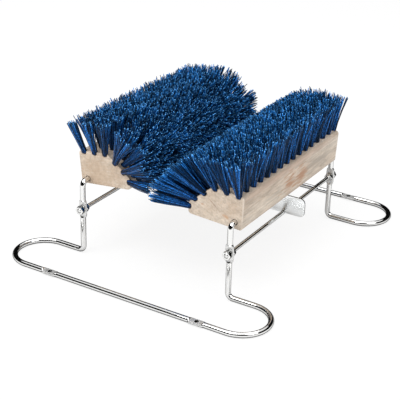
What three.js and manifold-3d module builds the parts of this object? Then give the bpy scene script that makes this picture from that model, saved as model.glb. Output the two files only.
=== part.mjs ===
import * as THREE from 'three';
import { mergeGeometries, mergeVertices } from 'three/addons/utils/BufferGeometryUtils.js';
import Module from 'manifold-3d';

const wasm = await Module();
wasm.setup();

// Boot brush. Two wooden brush blocks tilt on the pin ends of two bent wire frames.
// Two rods tie the frames together and carry an upright scraper plate between the brushes.
// Millimetres, +Z up, brushes along Y, front frame towards -Y.

// Fits
const seatGap = 0.3;            // between pieces that bear on each other
const turningGap = 0.3;         // round a pin or a rod in its hole
const cutOverrun = 2;           // how far a cutter runs past what it cuts

// Layout
const blockEndGap = 8.85;       // end of a block to the upright plane of its frame
const uprightSpan = 214;        // between the two uprights of a frame
const rodHeight = 62.4;         // axis of the tie rods
const pinAboveRod = 37.5;       // from there up to the axis on which a brush tilts

// Bent wire frame
const wireDiameter = 7;
const wireSides = 12;
const railReach = 70.75;        // upright plane to the rail that lies on the ground
const legLength = 38;           // upright to the start of the half-round foot
const bendRadius = 7;           // centre line, at the foot of an upright and at a pin
const bendSteps = 5;
const footSteps = 14;
const pinLength = 26;           // straight end that enters a block
const pinPoint = 1.2;           // length of the chamfered end
const pinPointShare = 0.72;

// Coined eye for a tie rod, and coined pad for a floor screw
const eyeLength = 22;
const eyeWidth = 11.6;
const eyeThickness = 3.4;
const padLength = 19;
const padWidth = 10.8;
const padThickness = 3.2;
const padSpan = 213;            // between the two screw holes of a frame
const padHoleDiameter = 4.8;
const shoulderLength = 2.4;     // from round wire to full flat
const flatWidthShares = [0.9, 0.98, 1, 0.98, 0.9];
const holeSides = 20;

// Tie rods, nuts and spring washers
const rodDiameter = 5;
const threadDiameter = 5.4;     // rolled, so it stands a little proud of the rod
const threadShown = 3;          // bare thread behind an inner nut
const rodProud = 0.8;           // rod end past an outer nut
const rodPoint = 0.7;
const rodSides = 18;
const nutAcrossFlats = 10;
const nutHeight = 4.6;
const nutFaceShare = 0.94;      // chamfer circle on the width across flats
const nutChamfer = 0.7;
const washerDiameter = 10.6;
const washerThickness = 1.3;
const washerSlit = 1;

// Scraper plate
const scraperOverhang = 29.5;   // past each rod
const scraperHeight = 25.4;
const scraperThickness = 2;
const scraperDrop = 0.5;        // lower edge below the rod axis
const scraperCorner = 7;
const cornerSteps = 5;

// Brush block, drawn in section from its pin, towards the middle and up
const blockLength = 254;
const blockWidth = 74;
const blockHeight = 43.5;
const pinInset = 10;            // outer face to pin
const pinRise = 7.8;            // underside to pin
const noseHeight = 15.6;        // underside to the lower end of the slant
const slantAngle = 42.4;
const noseRadius = 5;
const edgeRadius = 3.5;
const boreSpare = 4;            // bore past the end of the pin, which lets a block slide
const boreStray = 1.2;          // bores are this much too low in the left block and too high in the right one
const boreSides = 20;
const leftTilt = 6.3;
const rightTilt = 3;
const leftSlide = 2.7;          // left block along its pins, from the middle towards the rear

// Tufts
const backingThickness = 2;     // slice of the block that the tufts stand in
const columns = 16;
const columnInset = 3.4;        // end of the block to the first column
const topInset = 8;             // outer face to the first row
const topPitch = 16;            // between rows on the top
const slantInset = 15;          // fold to the first row on the slant
const slantPitch = 16;          // on over the foot of the slant, so the third row stands in the nose
const rowsPerFace = 3;
const strandDepth = 1;          // root of a strand below the surface
const pairOffset = 1.7;         // half the distance between the two strands of a tuft
const rootHalfAcross = 1.3;
const rootHalfAlong = 2.4;
const tipHalfAlong = 4.6;
const tipCoverShare = 0.72;     // of the room that a strand has at the trimmed tips
const frontLean = 18;           // how far the end tufts fan out along the block, in front
const rearLean = 5;
const leanPower = 4;

// Trimmed outline of the bristles, from the outer tips round to the lowest ones
const topLength = 40.3;         // outer tips above the top of the block
const topRise = 1.5;            // inner tips of the top above the outer ones
const outerFlare = 4.5;         // outer tips past the outer face
const innerFlare = 22.5;        // inner tips of the top past the fold
const slantTipsApart = 24;      // between the two brushes where the slant tips begin
const slantTipsRise = 46;       // from the pin up to there
const frontTipsApart = 6;       // between the two brushes where they come closest
const frontTipsRise = 12;       // from the pin up to there
const lowestTipsDrop = 3.5;     // lowest tips below the pin

const plated = { color: 0xc8ccd0, roughness: 0.22, metalness: 1 };
const plate = { color: 0xd4d8da, roughness: 0.3, metalness: 1 };
const hardwood = { color: 0xd6bea0, roughness: 0.65, metalness: 0 };
const bristle = { color: 0x143a72, roughness: 0.5, metalness: 0 };

// Sizes that follow from the ones above
const frameSpacing = blockLength + 2 * blockEndGap;
const pinHeight = rodHeight + pinAboveRod;
const scraperLength = uprightSpan + 2 * scraperOverhang;
const columnPitch = (blockLength - 2 * columnInset) / (columns - 1);

// Closed geometry to solid and back
function toSolid(geometry) {
  const bare = geometry.clone();
  bare.deleteAttribute('normal');
  bare.deleteAttribute('uv');
  const merged = mergeVertices(bare);
  return new wasm.Manifold(new wasm.Mesh({
    numProp: 3,
    vertProperties: new Float32Array(merged.attributes.position.array),
    triVerts: new Uint32Array(merged.index.array),
  }));
}

function toGeometry(solid) {
  const mesh = solid.getMesh();
  const geometry = new THREE.BufferGeometry();
  geometry.setAttribute('position', new THREE.BufferAttribute(new Float32Array(mesh.vertProperties), 3));
  geometry.setIndex(new THREE.BufferAttribute(new Uint32Array(mesh.triVerts), 1));
  geometry.computeVertexNormals();
  return geometry;
}

function roundBar(diameter, length, sides) {
  return new THREE.CylinderGeometry(diameter / 2, diameter / 2, length, sides);
}

// Outline with each corner rounded by its own radius
function roundedOutline(corners) {
  const outline = [];
  corners.forEach(({ at, radius }, index) => {
    const here = new THREE.Vector2(...at);
    const before = new THREE.Vector2(...corners.at(index - 1).at).sub(here).normalize();
    const after = new THREE.Vector2(...corners[(index + 1) % corners.length].at).sub(here).normalize();
    if (!radius) {
      outline.push(here);
      return;
    }
    const half = Math.acos(before.dot(after)) / 2;
    const centre = before.clone().add(after).normalize().multiplyScalar(radius / Math.sin(half)).add(here);
    const run = radius / Math.tan(half);
    const start = before.clone().multiplyScalar(run).add(here).sub(centre);
    const end = after.clone().multiplyScalar(run).add(here).sub(centre);
    const sweep = Math.atan2(start.cross(end), start.dot(end));
    for (let step = 0; step <= cornerSteps; step += 1) {
      const turned = start.clone().rotateAround(new THREE.Vector2(), sweep * step / cornerSteps);
      outline.push(turned.add(centre));
    }
  });
  return outline;
}

// Prism along Y, centred, from an outline in X and Z
function prismAlongY(outline, length) {
  const geometry = new THREE.ExtrudeGeometry(new THREE.Shape(outline), { depth: length, bevelEnabled: false });
  geometry.rotateX(Math.PI / 2);
  geometry.translate(0, length / 2, 0);
  return geometry;
}

// Skin through equal rings of points, closed at both ends
function loft(rings) {
  const sides = rings[0].length;
  const points = rings.flat();
  const faces = [];
  for (let ring = 0; ring < rings.length - 1; ring += 1) {
    for (let side = 0; side < sides; side += 1) {
      const next = (side + 1) % sides;
      const low = ring * sides;
      const high = low + sides;
      faces.push(low + side, low + next, high + next, low + side, high + next, high + side);
    }
  }
  const last = (rings.length - 1) * sides;
  for (let side = 1; side < sides - 1; side += 1) {
    faces.push(0, side + 1, side, last, last + side, last + side + 1);
  }
  const geometry = new THREE.BufferGeometry().setFromPoints(points);
  geometry.setIndex(faces);
  return geometry;
}

// One half of a frame's centre line, from the rail to the pin end, with its cross sections
function traceHalfFrame() {
  const radius = wireDiameter / 2;
  const point = new THREE.Vector3(padSpan / 2 - padLength / 2, -frameSpacing / 2 - railReach, radius);
  const heading = new THREE.Vector3(1, 0, 0);
  const normal = new THREE.Vector3(0, 0, 1);
  const stations = [];

  const mark = (halfSide = radius, halfNormal = radius, flattened = 'none') => {
    stations.push({
      point: point.clone(), normal: normal.clone(), side: normal.clone().cross(heading),
      halfSide, halfNormal, flattened,
    });
  };
  const forward = (distance) => point.addScaledVector(heading, distance);
  const bend = (axis, bendAt, angle, steps) => {
    const centre = axis.clone().cross(heading).multiplyScalar(bendAt).add(point);
    for (let step = 0; step < steps; step += 1) {
      point.sub(centre).applyAxisAngle(axis, angle / steps).add(centre);
      heading.applyAxisAngle(axis, angle / steps);
      normal.applyAxisAngle(axis, angle / steps);
      mark();
    }
  };
  // A coined flat is as long as given, thin one way and wide the other
  const coin = (length, width, thickness, flattened) => {
    const flatRun = (length - 2 * shoulderLength) / (flatWidthShares.length - 1);
    mark();
    forward(shoulderLength);
    flatWidthShares.forEach((share, index) => {
      if (index) forward(flatRun);
      if (flattened === 'normal') mark(share * width / 2, thickness / 2, flattened);
      else mark(thickness / 2, share * width / 2, flattened);
    });
    forward(shoulderLength);
    mark();
  };

  coin(padLength, padWidth, padThickness, 'normal');
  forward(uprightSpan / 2 + legLength - padSpan / 2 - padLength / 2);
  mark();
  bend(new THREE.Vector3(0, 0, 1), railReach / 2, Math.PI, footSteps);
  forward(legLength - bendRadius);
  mark();
  bend(new THREE.Vector3(0, 1, 0), bendRadius, Math.PI / 2, bendSteps);
  forward(rodHeight - eyeLength / 2 - radius - bendRadius);
  coin(eyeLength, eyeWidth, eyeThickness, 'side');
  forward(pinHeight - bendRadius - rodHeight - eyeLength / 2);
  mark();
  bend(new THREE.Vector3(-1, 0, 0), bendRadius, Math.PI / 2, bendSteps);
  forward(pinLength - pinPoint);
  mark();
  forward(pinPoint);
  mark(radius * pinPointShare, radius * pinPointShare);
  return stations;
}

// Cross section of the wire at one station
function wireRing({ point, side, normal, halfSide, halfNormal, flattened }) {
  const radius = wireDiameter / 2;
  return Array.from({ length: wireSides }, (_, index) => {
    const angle = 2 * Math.PI * index / wireSides;
    const across = flattened === 'side'
      ? THREE.MathUtils.clamp(radius * Math.cos(angle), -halfSide, halfSide) : halfSide * Math.cos(angle);
    const along = flattened === 'normal'
      ? THREE.MathUtils.clamp(radius * Math.sin(angle), -halfNormal, halfNormal) : halfNormal * Math.sin(angle);
    return point.clone().addScaledVector(side, across).addScaledVector(normal, along);
  });
}

function buildFrame() {
  const mirrored = new THREE.Vector3(-1, 1, 1);
  const half = traceHalfFrame();
  const otherHalf = [...half].reverse().map((station) => ({
    ...station,
    point: station.point.clone().multiply(mirrored),
    side: station.side.clone().multiply(mirrored),
    normal: station.normal.clone().multiply(mirrored),
  }));
  let frame = toSolid(loft([...otherHalf, ...half].map(wireRing)));
  for (const sign of [-1, 1]) {
    const eyeHole = roundBar(threadDiameter + 2 * turningGap, eyeThickness + 2 * cutOverrun, holeSides);
    eyeHole.translate(sign * uprightSpan / 2, -frameSpacing / 2, rodHeight);
    const screwHole = roundBar(padHoleDiameter, padThickness + 2 * cutOverrun, holeSides);
    screwHole.rotateX(Math.PI / 2);
    screwHole.translate(sign * padSpan / 2, -frameSpacing / 2 - railReach, wireDiameter / 2);
    frame = frame.subtract(toSolid(eyeHole)).subtract(toSolid(screwHole));
  }
  return toGeometry(frame);
}

// Places along Y, from the upright plane outwards and inwards
const eyeFace = eyeThickness / 2;
const washerAt = eyeFace + seatGap + washerThickness / 2;
const outerNutAt = eyeFace + 2 * seatGap + washerThickness + nutHeight / 2;
const innerNutAt = -(eyeFace + seatGap + nutHeight / 2);

function buildRod() {
  const end = frameSpacing / 2 + outerNutAt + nutHeight / 2 + rodProud;
  const bodyEnd = frameSpacing / 2 + innerNutAt - nutHeight / 2 - threadShown;
  const thread = threadDiameter / 2;
  const runOut = Math.abs(thread - rodDiameter / 2);
  const half = [
    [rodDiameter / 2, bodyEnd], [thread, bodyEnd + runOut], [thread, end - rodPoint],
    [thread - rodPoint, end], [0, end],
  ];
  const profile = [
    ...half.map(([radius, at]) => [radius, -at]).reverse(),
    ...half,
  ].map(([radius, at]) => new THREE.Vector2(radius, at));
  return toGeometry(toSolid(new THREE.LatheGeometry(profile, rodSides)));
}

// Hexagon nut with its corners chamfered by a turned blank, axis along Y
function buildNut() {
  const corner = nutAcrossFlats / Math.sqrt(3);
  const hexagon = new THREE.CylinderGeometry(corner, corner, nutHeight, 6);
  const face = nutAcrossFlats / 2 * nutFaceShare;
  const rim = corner + nutChamfer;
  const slope = nutChamfer * (rim - face) / (corner - face);
  const blank = new THREE.LatheGeometry([
    new THREE.Vector2(0, -nutHeight / 2), new THREE.Vector2(face, -nutHeight / 2),
    new THREE.Vector2(rim, -nutHeight / 2 + slope), new THREE.Vector2(rim, nutHeight / 2 - slope),
    new THREE.Vector2(face, nutHeight / 2), new THREE.Vector2(0, nutHeight / 2),
  ], 24);
  const bore = roundBar(threadDiameter + 2 * turningGap, nutHeight + 2 * cutOverrun, rodSides);
  return toGeometry(toSolid(hexagon).intersect(toSolid(blank)).subtract(toSolid(bore)));
}

// Split spring washer, axis along Y
function buildWasher() {
  const ring = toSolid(roundBar(washerDiameter, washerThickness, 24));
  const bore = toSolid(roundBar(threadDiameter + 2 * turningGap, washerThickness + 2 * cutOverrun, rodSides));
  const slit = new THREE.BoxGeometry(washerSlit, washerThickness + 2 * cutOverrun, washerDiameter);
  slit.translate(0, 0, washerDiameter / 2);
  return toGeometry(ring.subtract(bore).subtract(toSolid(slit)));
}

// Upright plate across the middle, notched from below to sit on the rods
function buildScraper() {
  const low = rodHeight - scraperDrop;
  const halfLength = scraperLength / 2;
  const body = prismAlongY(roundedOutline([
    { at: [-halfLength, low], radius: scraperCorner },
    { at: [halfLength, low], radius: scraperCorner },
    { at: [halfLength, low + scraperHeight], radius: scraperCorner },
    { at: [-halfLength, low + scraperHeight], radius: scraperCorner },
  ]), scraperThickness);
  let scraper = toSolid(body);
  const notchWidth = rodDiameter + 2 * turningGap;
  for (const sign of [-1, 1]) {
    const round = roundBar(notchWidth, scraperThickness + 2 * cutOverrun, holeSides);
    round.translate(sign * uprightSpan / 2, 0, rodHeight);
    const throat = new THREE.BoxGeometry(notchWidth, scraperThickness + 2 * cutOverrun, scraperDrop + cutOverrun);
    throat.translate(sign * uprightSpan / 2, 0, rodHeight - (scraperDrop + cutOverrun) / 2);
    scraper = scraper.subtract(toSolid(round)).subtract(toSolid(throat));
  }
  return toGeometry(scraper);
}

// Section of a whole block, measured from its pin
const outerFace = -pinInset;
const underside = -pinRise;
const noseFace = blockWidth - pinInset;
const slantFoot = underside + noseHeight;
const blockTop = underside + blockHeight;
const slantRadians = THREE.MathUtils.degToRad(slantAngle);
const foldAt = noseFace - (blockTop - slantFoot) / Math.tan(slantRadians);
const topRun = foldAt - outerFace;
const slantRun = (noseFace - foldAt) / Math.cos(slantRadians);

// Corners of the trimmed outline, from the same pin
const trimTopOuter = [outerFace - outerFlare, blockTop + topLength];
const trimTopInner = [foldAt + innerFlare, blockTop + topLength + topRise];
const trimSlant = [(uprightSpan - slantTipsApart) / 2, slantTipsRise];
const trimFront = [(uprightSpan - frontTipsApart) / 2, frontTipsRise];
const trimLowest = [(uprightSpan - frontTipsApart) / 2, -lowestTipsDrop];

function blockSection() {
  return roundedOutline([
    { at: [outerFace, underside], radius: edgeRadius },
    { at: [noseFace, underside], radius: noseRadius },
    { at: [noseFace, slantFoot], radius: noseRadius },
    { at: [foldAt, blockTop], radius: 0 },
    { at: [outerFace, blockTop], radius: edgeRadius },
  ]);
}

// Everything that lies deeper than the given depth under the top, the slant and the nose
function sectionBelow(depth) {
  const level = blockTop - depth;
  const slide = depth / Math.sin(slantRadians);
  const reach = blockWidth + cutOverrun;
  const fold = foldAt + (depth / Math.tan(slantRadians)) - slide;
  const nose = noseFace - depth;
  return [
    new THREE.Vector2(-reach, underside - cutOverrun), new THREE.Vector2(nose, underside - cutOverrun),
    new THREE.Vector2(nose, level - (nose - fold) * Math.tan(slantRadians)),
    new THREE.Vector2(fold, level), new THREE.Vector2(-reach, level),
  ];
}

function buildBlock(boreAt) {
  const whole = toSolid(prismAlongY(blockSection(), blockLength));
  const below = toSolid(prismAlongY(sectionBelow(backingThickness + seatGap), blockLength + 2 * cutOverrun));
  let block = whole.intersect(below);
  const pinStart = frameSpacing / 2 - bendRadius;
  const boreEnd = pinStart - pinLength - boreSpare;
  const boreLength = blockLength / 2 - boreEnd + cutOverrun;
  for (const sign of [-1, 1]) {
    const bore = roundBar(wireDiameter + 2 * turningGap, boreLength, boreSides);
    bore.translate(0, sign * (boreEnd + boreLength / 2), boreAt);
    block = block.subtract(toSolid(bore));
  }
  return toGeometry(block);
}

// Point of the block's surface at a run from the outer face over the fold to the nose, sunk by a depth
function surfacePoint(run, depth) {
  if (run <= topRun) return new THREE.Vector2(outerFace + run, blockTop - depth);
  const down = run - topRun;
  if (down > slantRun) return new THREE.Vector2(noseFace - depth, slantFoot - (down - slantRun));
  return new THREE.Vector2(
    foldAt + down * Math.cos(slantRadians) - depth * Math.sin(slantRadians),
    blockTop - down * Math.sin(slantRadians) - depth * Math.cos(slantRadians),
  );
}

// Point at a run along a chain of straight lines
function pointAlong(chain, run) {
  let left = run;
  for (let index = 1; index < chain.length; index += 1) {
    const start = new THREE.Vector2(...chain[index - 1]);
    const step = new THREE.Vector2(...chain[index]).sub(start);
    if (left <= step.length() || index === chain.length - 1) return start.addScaledVector(step.normalize(), left);
    left -= step.length();
  }
  return null;
}

function chainLength(chain) {
  let total = 0;
  for (let index = 1; index < chain.length; index += 1) {
    total += new THREE.Vector2(...chain[index]).distanceTo(new THREE.Vector2(...chain[index - 1]));
  }
  return total;
}

// Rows of strands across one face: a pair for each tuft row, and single rows between if asked
function strandRows(firstRun, rowPitch, chain, withBetween) {
  const rows = [];
  for (let row = 0; row < rowsPerFace; row += 1) {
    const run = firstRun + row * rowPitch;
    rows.push({ run: run - pairOffset, between: false }, { run: run + pairOffset, between: false });
    if (withBetween && row < rowsPerFace - 1) rows.push({ run: run + rowPitch / 2, between: true });
  }
  const room = chainLength(chain) / rows.length;
  return rows.map((row, index) => ({ ...row, chain, tipRun: (index + 0.5) * room, tipHalf: tipCoverShare * room / 2 }));
}

// How far along Y a tip stands from the middle for a root at a given place, with the front end at either sign
function leanedOut(place, front) {
  const half = (columns - 1) / 2 * columnPitch;
  const lean = place * front > 0 ? frontLean : rearLean;
  return place + Math.sign(place) * lean * Math.abs(place / half) ** leanPower;
}

function buildStrand(row, place, front) {
  const root = [-1, 1].map((sign) => surfacePoint(row.run + sign * rootHalfAcross, strandDepth));
  const tip = [-1, 1].map((sign) => pointAlong(row.chain, row.tipRun + sign * row.tipHalf));
  const tipPlace = leanedOut(place, front);
  const ring = (ends, centre, half) => [
    new THREE.Vector3(ends[0].x, centre - half, ends[0].y), new THREE.Vector3(ends[1].x, centre - half, ends[1].y),
    new THREE.Vector3(ends[1].x, centre + half, ends[1].y), new THREE.Vector3(ends[0].x, centre + half, ends[0].y),
  ];
  return loft([ring(root, place, rootHalfAlong), ring(tip, tipPlace, tipHalfAlong)]);
}

function buildBristles(front) {
  const rows = [
    ...strandRows(topInset, topPitch, [trimTopOuter, trimTopInner], false),
    ...strandRows(topRun + slantInset, slantPitch, [trimTopInner, trimSlant, trimFront, trimLowest], true),
  ];
  const strands = rows.flatMap((row) => {
    const count = row.between ? columns - 1 : columns;
    return Array.from(
      { length: count }, (_, index) => buildStrand(row, (index - (count - 1) / 2) * columnPitch, front),
    );
  });
  const whole = toSolid(prismAlongY(blockSection(), blockLength));
  const below = toSolid(prismAlongY(sectionBelow(backingThickness), blockLength + 2 * cutOverrun));
  return toGeometry(whole.subtract(below).add(toSolid(mergeGeometries(strands))));
}

// Assembly
const bootBrush = new THREE.Group();

function addPiece(parent, name, geometry, look) {
  const mesh = new THREE.Mesh(geometry, new THREE.MeshStandardMaterial(look));
  mesh.name = name;
  parent.add(mesh);
  return mesh;
}

const frameGeometry = buildFrame();
addPiece(bootBrush, 'front_frame', frameGeometry, plated);
addPiece(bootBrush, 'rear_frame', frameGeometry, plated).rotation.z = Math.PI;

const rodGeometry = buildRod();
const nutGeometry = buildNut();
const washerGeometry = buildWasher();
for (const [sideName, side] of [['left', -1], ['right', 1]]) {
  addPiece(bootBrush, `${sideName}_rod`, rodGeometry, plated).position.set(side * uprightSpan / 2, 0, rodHeight);
  for (const [endName, end] of [['front', -1], ['rear', 1]]) {
    const stack = new THREE.Group();
    stack.position.set(side * uprightSpan / 2, end * frameSpacing / 2, rodHeight);
    stack.rotation.z = end > 0 ? 0 : Math.PI;
    addPiece(stack, `${endName}_${sideName}_outer_nut`, nutGeometry, plated).position.y = outerNutAt;
    addPiece(stack, `${endName}_${sideName}_washer`, washerGeometry, plated).position.y = washerAt;
    addPiece(stack, `${endName}_${sideName}_inner_nut`, nutGeometry, plated).position.y = innerNutAt;
    bootBrush.add(stack);
  }
}

addPiece(bootBrush, 'scraper_plate', buildScraper(), plate);

for (const [name, side, facing, tilt, slide] of [
  ['left', -1, 0, leftTilt, leftSlide], ['right', 1, Math.PI, rightTilt, 0],
]) {
  const boreAt = side * boreStray;
  const place = new THREE.Group();
  place.position.set(side * uprightSpan / 2, 0, pinHeight);
  place.rotation.z = facing;
  const brush = new THREE.Group();
  brush.rotation.y = -THREE.MathUtils.degToRad(tilt);
  for (const [part, geometry, look] of [
    ['block', buildBlock(boreAt), hardwood], ['bristles', buildBristles(side), bristle],
  ]) {
    addPiece(brush, `${name}_${part}`, geometry, look).position.set(0, slide, -boreAt);
  }
  place.add(brush);
  bootBrush.add(place);
}

export default bootBrush;
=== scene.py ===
import math

import bpy
import numpy as np
from mathutils import Matrix


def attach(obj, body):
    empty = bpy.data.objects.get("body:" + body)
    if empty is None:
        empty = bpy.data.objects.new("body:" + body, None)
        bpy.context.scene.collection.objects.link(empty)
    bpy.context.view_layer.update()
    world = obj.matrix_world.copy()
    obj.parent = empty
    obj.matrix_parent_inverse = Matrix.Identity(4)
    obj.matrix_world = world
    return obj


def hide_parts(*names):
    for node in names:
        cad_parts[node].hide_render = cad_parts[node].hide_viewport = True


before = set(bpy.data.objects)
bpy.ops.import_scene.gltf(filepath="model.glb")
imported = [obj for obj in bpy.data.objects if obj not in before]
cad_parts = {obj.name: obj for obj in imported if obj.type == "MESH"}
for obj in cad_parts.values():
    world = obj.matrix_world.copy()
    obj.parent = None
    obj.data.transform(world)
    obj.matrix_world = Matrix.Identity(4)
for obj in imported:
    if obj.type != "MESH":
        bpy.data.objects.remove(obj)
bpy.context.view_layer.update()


# Wire frames
# Each end of the stand is one length of round steel wire, bent cold and bright plated: a rail on the
# ground, two half-round feet, two uprights, and the pins that carry the brushes. The wire is coined
# flat where the tie rods pass through it, and again where a screw holds it to the floor.

wire_radius = 0.0035
upright_x = 0.107
upright_y = 0.13585
rail_y = 0.2066
leg_length = 0.038
bend_radius = 0.007
pin_height = 0.0999
pin_length = 0.026
rod_height = 0.0624
pad_x = 0.1065
pad_half = (0.0095, 0.0054, 0.0016)      # half of its length, width and thickness
eye_half = (0.011, 0.0058, 0.0017)
shoulder = 0.0026                        # length over which the round wire turns flat
section_gap = 0.001
screw_hole_radius = 0.0024
screw_hole_length = 0.012


def straight_run(point, heading, normal, length, steps):
    """Straight wire: the start plus the heading times the distance run."""
    run = np.linspace(0, length, steps + 1)[1:, None]
    return point + run * heading, heading + 0 * run, normal + 0 * run


def bent_run(point, heading, normal, axis, radius, angle, steps):
    """Arc of a circle: the point, the heading and the normal all turn about the axis (Rodrigues' formula)."""
    turn = np.linspace(0, angle, steps + 1)[1:, None]

    def turned(arrow):
        return (arrow * np.cos(turn) + np.cross(axis, arrow) * np.sin(turn)
                + np.multiply(axis, np.dot(axis, arrow)) * (1 - np.cos(turn)))

    inward = radius * np.cross(axis, heading)
    return point + inward - turned(inward), turned(heading), turned(normal)


def half_frame():
    """Centre line from the middle of the rail to the pin: straight and bent runs, each of which starts where
    the last one ends."""
    foot_radius = (rail_y - upright_y) / 2
    stations = [(np.array([[0, -rail_y, wire_radius]]), np.array([[1.0, 0, 0]]), np.array([[0, 0, 1.0]]))]
    runs = [(straight_run, upright_x + leg_length),
            (bent_run, (0, 0, 1), foot_radius, math.pi),
            (straight_run, leg_length - bend_radius),
            (bent_run, (0, 1, 0), bend_radius, math.pi / 2),
            (straight_run, pin_height - 2 * bend_radius - wire_radius),
            (bent_run, (-1, 0, 0), bend_radius, math.pi / 2),
            (straight_run, pin_length)]
    for run, *sizes in runs:
        length = sizes[0] if run is straight_run else sizes[1] * sizes[2]
        last = [array[-1] for array in stations[-1]]
        stations.append(run(*last, *sizes, max(8, round(length / section_gap))))
    return [np.concatenate(arrays) for arrays in zip(*stations)]


def coined(along, centre, half_length):
    """How flat the wire is, 0 to 1: a smooth step up one shoulder and down the other."""
    edge = np.clip((half_length + shoulder / 2 - abs(along - centre)) / shoulder, 0, 1)
    return edge * edge * (3 - 2 * edge)


def wire_rings(sides=28):
    """Cross sections of a whole frame. Each way across, a section is a circle of the thinner half size,
    spread apart by what the wider half size adds, and its faces are clipped level where it is coined."""
    eye_narrowing = 0.12                       # how much narrower a coined eye gets towards its ends
    tip_chamfer, tip_narrowing = 0.0012, 0.3   # its length, and how much thinner the tip of the pin is
    levelled, spread = 0.16, 1.8
    points, headings, normals = half_frame()
    along = np.concatenate([[0], np.cumsum(np.linalg.norm(np.diff(points, axis=0), axis=1))])
    upright = (abs(points[:, 0] - upright_x) < 1e-6) & (points[:, 2] > wire_radius + bend_radius)
    eye_at = along[upright][np.argmin(abs(points[upright, 2] - rod_height))]
    pad, eye = coined(along, pad_x, pad_half[0]), coined(along, eye_at, eye_half[0])
    swell = 1 - eye_narrowing * np.clip(abs(along - eye_at) / eye_half[0], 0, 1) ** 2
    side_half = wire_radius + pad * (pad_half[1] - wire_radius) + eye * (eye_half[2] - wire_radius)
    normal_half = wire_radius + pad * (pad_half[2] - wire_radius) + eye * (eye_half[1] * swell - wire_radius)
    to_tip = along[-1] - along
    taper = 1 - tip_narrowing * np.clip(1 - to_tip / tip_chamfer, 0, 1)
    side_half, normal_half = side_half * taper, normal_half * taper

    angle = np.linspace(0, 2 * math.pi, sides, endpoint=False)
    cosine, sine = np.cos(angle), np.sin(angle)
    thin = np.minimum(side_half, normal_half)[:, None]
    across = (thin * np.clip((1 + levelled * eye[:, None]) * cosine, -1, 1)
              + np.maximum(side_half - normal_half, 0)[:, None] * np.clip(spread * cosine, -1, 1))
    up = (thin * np.clip((1 + levelled * pad[:, None]) * sine, -1, 1)
          + np.maximum(normal_half - side_half, 0)[:, None] * np.clip(spread * sine, -1, 1))
    sideways = np.cross(normals, headings)
    rings = points[:, None] + across[..., None] * sideways[:, None] + up[..., None] * normals[:, None]
    pressed = np.repeat(np.maximum(pad, eye)[:, None], sides, axis=1)
    return np.concatenate([rings[:0:-1] * (-1, 1, 1), rings]), np.concatenate([pressed[:0:-1], pressed])


def put_in_scene(name, mesh, material, sharp_above=35):
    """Shades the mesh smooth but for its sharp edges, and puts it in the scene."""
    mesh.validate()
    mesh.shade_smooth()
    mesh.set_sharp_from_angle(angle=math.radians(sharp_above))
    mesh.materials.append(material)
    piece = bpy.data.objects.new(name, mesh)
    bpy.context.scene.collection.objects.link(piece)
    return piece


def skinned(name, rings, closed=False):
    """Mesh through rings of points: a quad between each two neighbours both ways, and a flat face over each
    end, unless the last ring meets the first."""
    count, sides = rings.shape[:2]
    corner = np.arange(count * sides).reshape(count, sides)
    if closed:
        corner = np.concatenate([corner, corner[:1]])
    beside = np.roll(corner, -1, axis=1)
    faces = np.stack([corner[:-1], beside[:-1], beside[1:], corner[1:]], -1).reshape(-1, 4).tolist()
    if not closed:
        faces += [corner[0, ::-1].tolist(), corner[-1].tolist()]
    mesh = bpy.data.meshes.new(name)
    mesh.from_pydata(rings.reshape(-1, 3), [], faces)
    facing_out(mesh)
    return mesh


def facing_out(mesh):
    """Turns every face outwards: the volume, a sum of corner products over the faces, must come out
    positive."""
    mesh.calc_loop_triangles()
    corners = np.empty(len(mesh.loop_triangles) * 3, np.int32)
    mesh.loop_triangles.foreach_get("vertices", corners)
    points = np.empty(len(mesh.vertices) * 3)
    mesh.vertices.foreach_get("co", points)
    a, b, c = points.reshape(-1, 3)[corners.reshape(-1, 3)].transpose(1, 0, 2)
    if np.einsum("ij,ij->i", a, np.cross(b, c)).sum() < 0:
        mesh.flip_normals()


def drill(axis, centre, radius, length, sides=32):
    """Cutter: a cylinder about one axis, as a ring of points at each end."""
    angle = np.linspace(0, 2 * math.pi, sides, endpoint=False)
    ring = np.stack([np.cos(angle), np.sin(angle), 0 * angle], -1) * radius
    ends = np.stack([ring - (0, 0, length / 2), ring + (0, 0, length / 2)])
    return np.roll(ends, axis - 2, axis=-1) + centre


def cut_away(piece, cutters):
    """Subtracts the cutters, given as a mesh, from the piece."""
    cutter = bpy.data.objects.new("cutter", cutters)
    bpy.context.scene.collection.objects.link(cutter)
    step = piece.modifiers.new("cut", "BOOLEAN")
    step.operation, step.solver, step.object = "DIFFERENCE", "EXACT", cutter
    result = bpy.data.meshes.new_from_object(piece.evaluated_get(bpy.context.evaluated_depsgraph_get()))
    piece.modifiers.clear()
    piece.data = result
    bpy.data.objects.remove(cutter)


def add_node(tree, kind, settings=(), **sockets):
    """Adds a shader node. A socket's value is a number, a colour, or another node's output."""
    node = tree.nodes.new(kind)
    for name, value in dict(settings).items():
        setattr(node, name, value)
    for name, value in sockets.items():
        socket = node.inputs[int(name[1:])] if name[0] == "n" and name[1:].isdigit() else \
            node.inputs[name.replace("_", " ")]
        if isinstance(value, bpy.types.NodeSocket):
            tree.links.new(value, socket)
        else:
            socket.default_value = value
    return node


def new_finish(name, **sockets):
    """A material with one Principled shader, and its node tree."""
    material = bpy.data.materials.new(name)
    material.use_nodes = True
    shader = material.node_tree.nodes["Principled BSDF"]
    for socket, value in sockets.items():
        shader.inputs[socket.replace("_", " ")].default_value = value
    return material, material.node_tree, shader


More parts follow.
